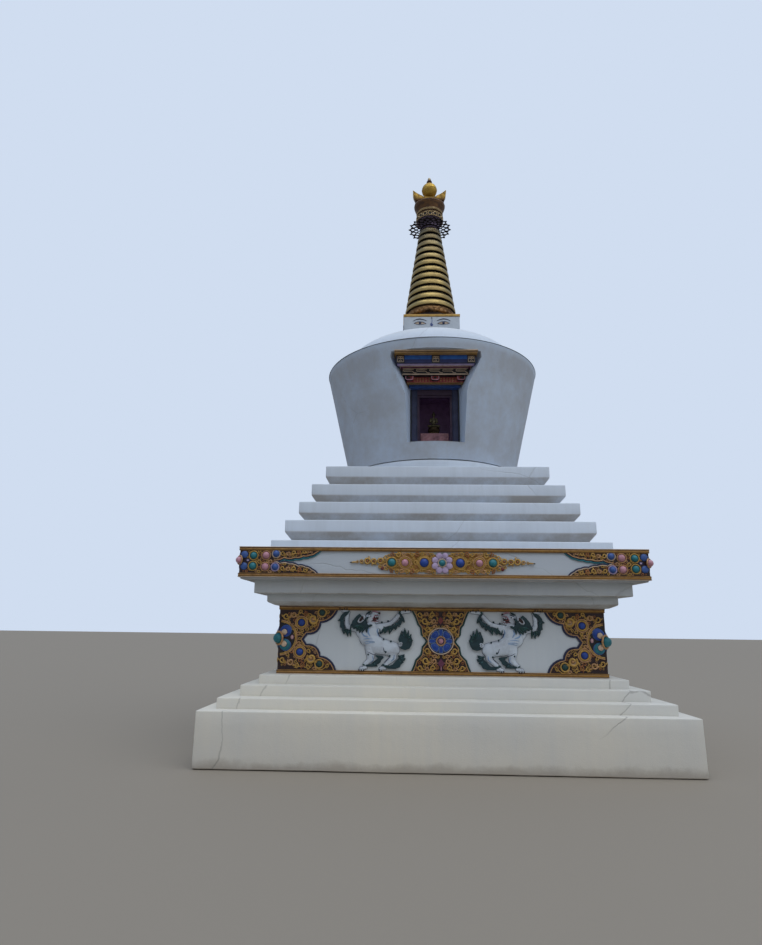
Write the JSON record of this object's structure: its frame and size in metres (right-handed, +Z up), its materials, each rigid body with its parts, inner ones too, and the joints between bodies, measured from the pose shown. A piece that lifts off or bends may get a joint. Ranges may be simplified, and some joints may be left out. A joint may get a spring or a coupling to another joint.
{
  "type": "stupa",
  "caption": "Whitewashed stupa with a stepped square base, painted lion reliefs, a round body with a niche, and a gilded ringed spire.",
  "frame": {"origin": "centre of the base block's underside, at ground level", "axes": "+Z up along the spire, -Y out of the front, the side with the niche, +X to the right seen from the front"},
  "size_m": [3.588, 3.588, 6.2773],
  "materials": {
    "whitewash": "matt limewash over plastered masonry, dirty on the undersides and cracked",
    "carved_paint": "painted plaster relief in gold, blue, teal, green and pink, worn",
    "blue_paint": "matt blue paint on timber, darker on the posts",
    "ochre_paint": "matt ochre and beige paint on timber, patterned",
    "red_paint": "matt red paint on timber, with pink and dark scrolls",
    "lilac_paint": "matt pale lilac paint on timber",
    "maroon_paint": "matt dark maroon paint on timber",
    "altar_cloth": "faded pink woven cloth over a masonry shelf",
    "figure_metal": "dulled cast bronze with worn gilding",
    "bronze": "brown patinated copper and carved lotus petals",
    "gilding": "gilded sheet copper, satin, dulled in places",
    "dark_metal": "thin dark openwork metal, matt"
  },
  "bodies": {
    "root": {"base_block": "whitewash", "lower_step_1": "whitewash", "lower_step_2": "whitewash", "lower_step_3": "whitewash", "relief_die": "whitewash", "panel_border": "carved_paint", "panel_relief_front": "carved_paint", "panel_relief_right": "carved_paint", "panel_relief_back": "carved_paint", "panel_relief_left": "carved_paint", "lower_cornice": "whitewash", "upper_cornice": "whitewash", "frieze_slab": "whitewash", "frieze_border": "carved_paint", "frieze_ornament_front": "carved_paint", "frieze_ornament_right": "carved_paint", "frieze_ornament_back": "carved_paint", "frieze_ornament_left": "carved_paint", "plinth": "whitewash", "terrace_1": "whitewash", "terrace_2": "whitewash", "terrace_3": "whitewash", "terrace_4": "whitewash", "body_foot_ring": "whitewash", "body": "whitewash", "shoulder": "whitewash", "niche_post_left": "blue_paint", "niche_post_right": "blue_paint", "niche_head_board": "maroon_paint", "niche_inner_frame": "maroon_paint", "altar": "altar_cloth", "figure_pedestal": "bronze", "seated_figure": "figure_metal", "lintel_lower_blue": "blue_paint", "lintel_ochre": "ochre_paint", "lintel_red_beam": "red_paint", "lintel_key_pattern": "ochre_paint", "lintel_lilac": "lilac_paint", "lintel_upper_blue": "blue_paint", "lintel_gold_cornice": "ochre_paint", "harmika": "whitewash", "harmika_slab": "gilding", "lotus_base": "bronze", "spire_rings": "gilding", "lace_parasol": "dark_metal", "canopy_bell": "bronze", "moon_crescent": "gilding", "sun_ball": "gilding", "finial_knob": "bronze"}
  },
  "joints": []
}
